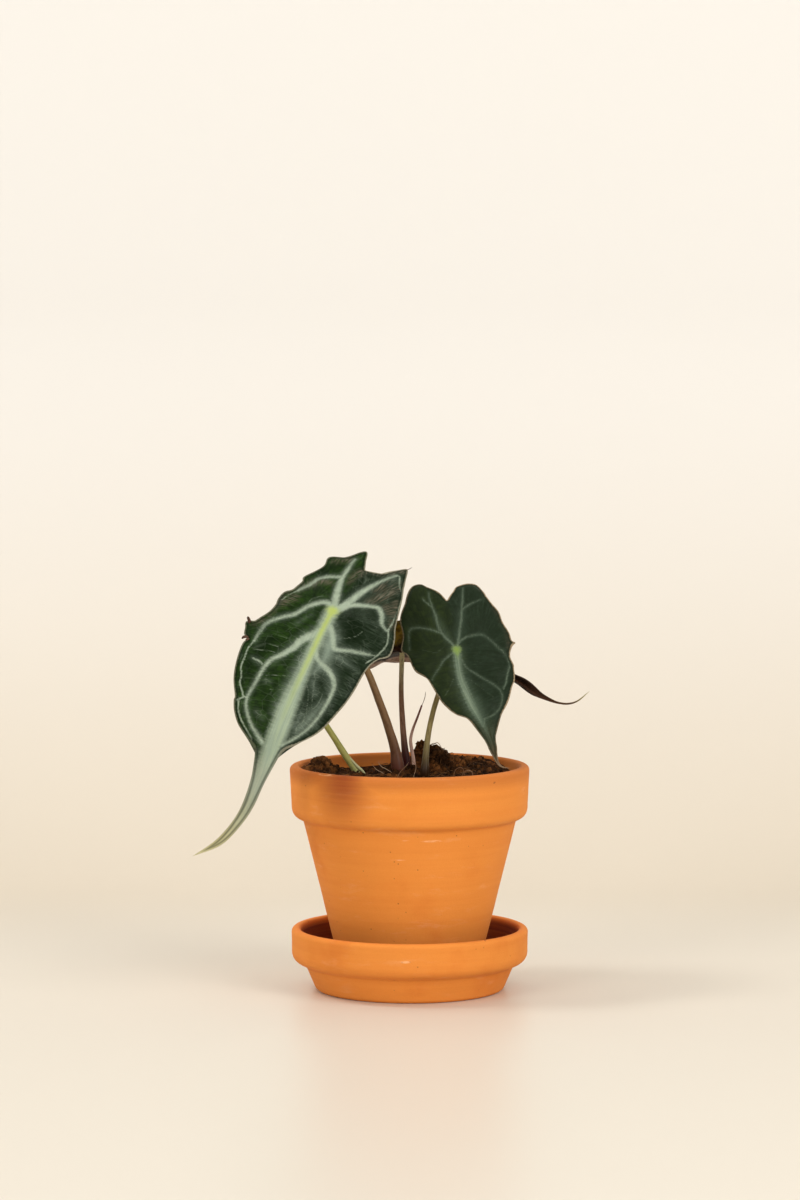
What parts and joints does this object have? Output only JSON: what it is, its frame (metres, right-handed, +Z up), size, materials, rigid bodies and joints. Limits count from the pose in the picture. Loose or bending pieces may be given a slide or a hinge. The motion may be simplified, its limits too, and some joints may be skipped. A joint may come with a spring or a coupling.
{
  "type": "potted alocasia plant",
  "caption": "Young arrow-leaved alocasia with pale veins and drip tips, planted in a banded terracotta pot that stands on its terracotta saucer.",
  "frame": {"origin": "centre of the saucer's flat underside, on the surface that it stands on", "axes": "+Z up along the axis of the pot and the saucer; -Y towards the side that the big leaf faces, where the picture was taken; +X to the right from there, towards the long drip tip of the leaf at the back"},
  "size_m": [0.1499, 0.09, 0.1636],
  "materials": {
    "terracotta_saucer": "matte",
    "terracotta_pot": "matte",
    "soil": "matte",
    "corm": "matte",
    "leaf_large": "satin",
    "leaf_middle": "satin",
    "leaf_back": "satin",
    "leaf_small": "satin",
    "stalk_brown": "satin",
    "stalk_olive": "satin",
    "stalk_purple": "satin",
    "stalk_green": "satin",
    "shoot": "satin"
  },
  "bodies": {
    "root": {"saucer": "terracotta_saucer", "pot": "terracotta_pot", "soil": "soil", "corm": "corm", "blade_large": "leaf_large", "petiole_large": "stalk_brown", "blade_middle": "leaf_middle", "petiole_middle": "stalk_olive", "blade_back": "leaf_back", "petiole_back": "stalk_purple", "blade_small": "leaf_small", "petiole_small": "stalk_green", "new_shoot": "shoot"}
  },
  "joints": []
}
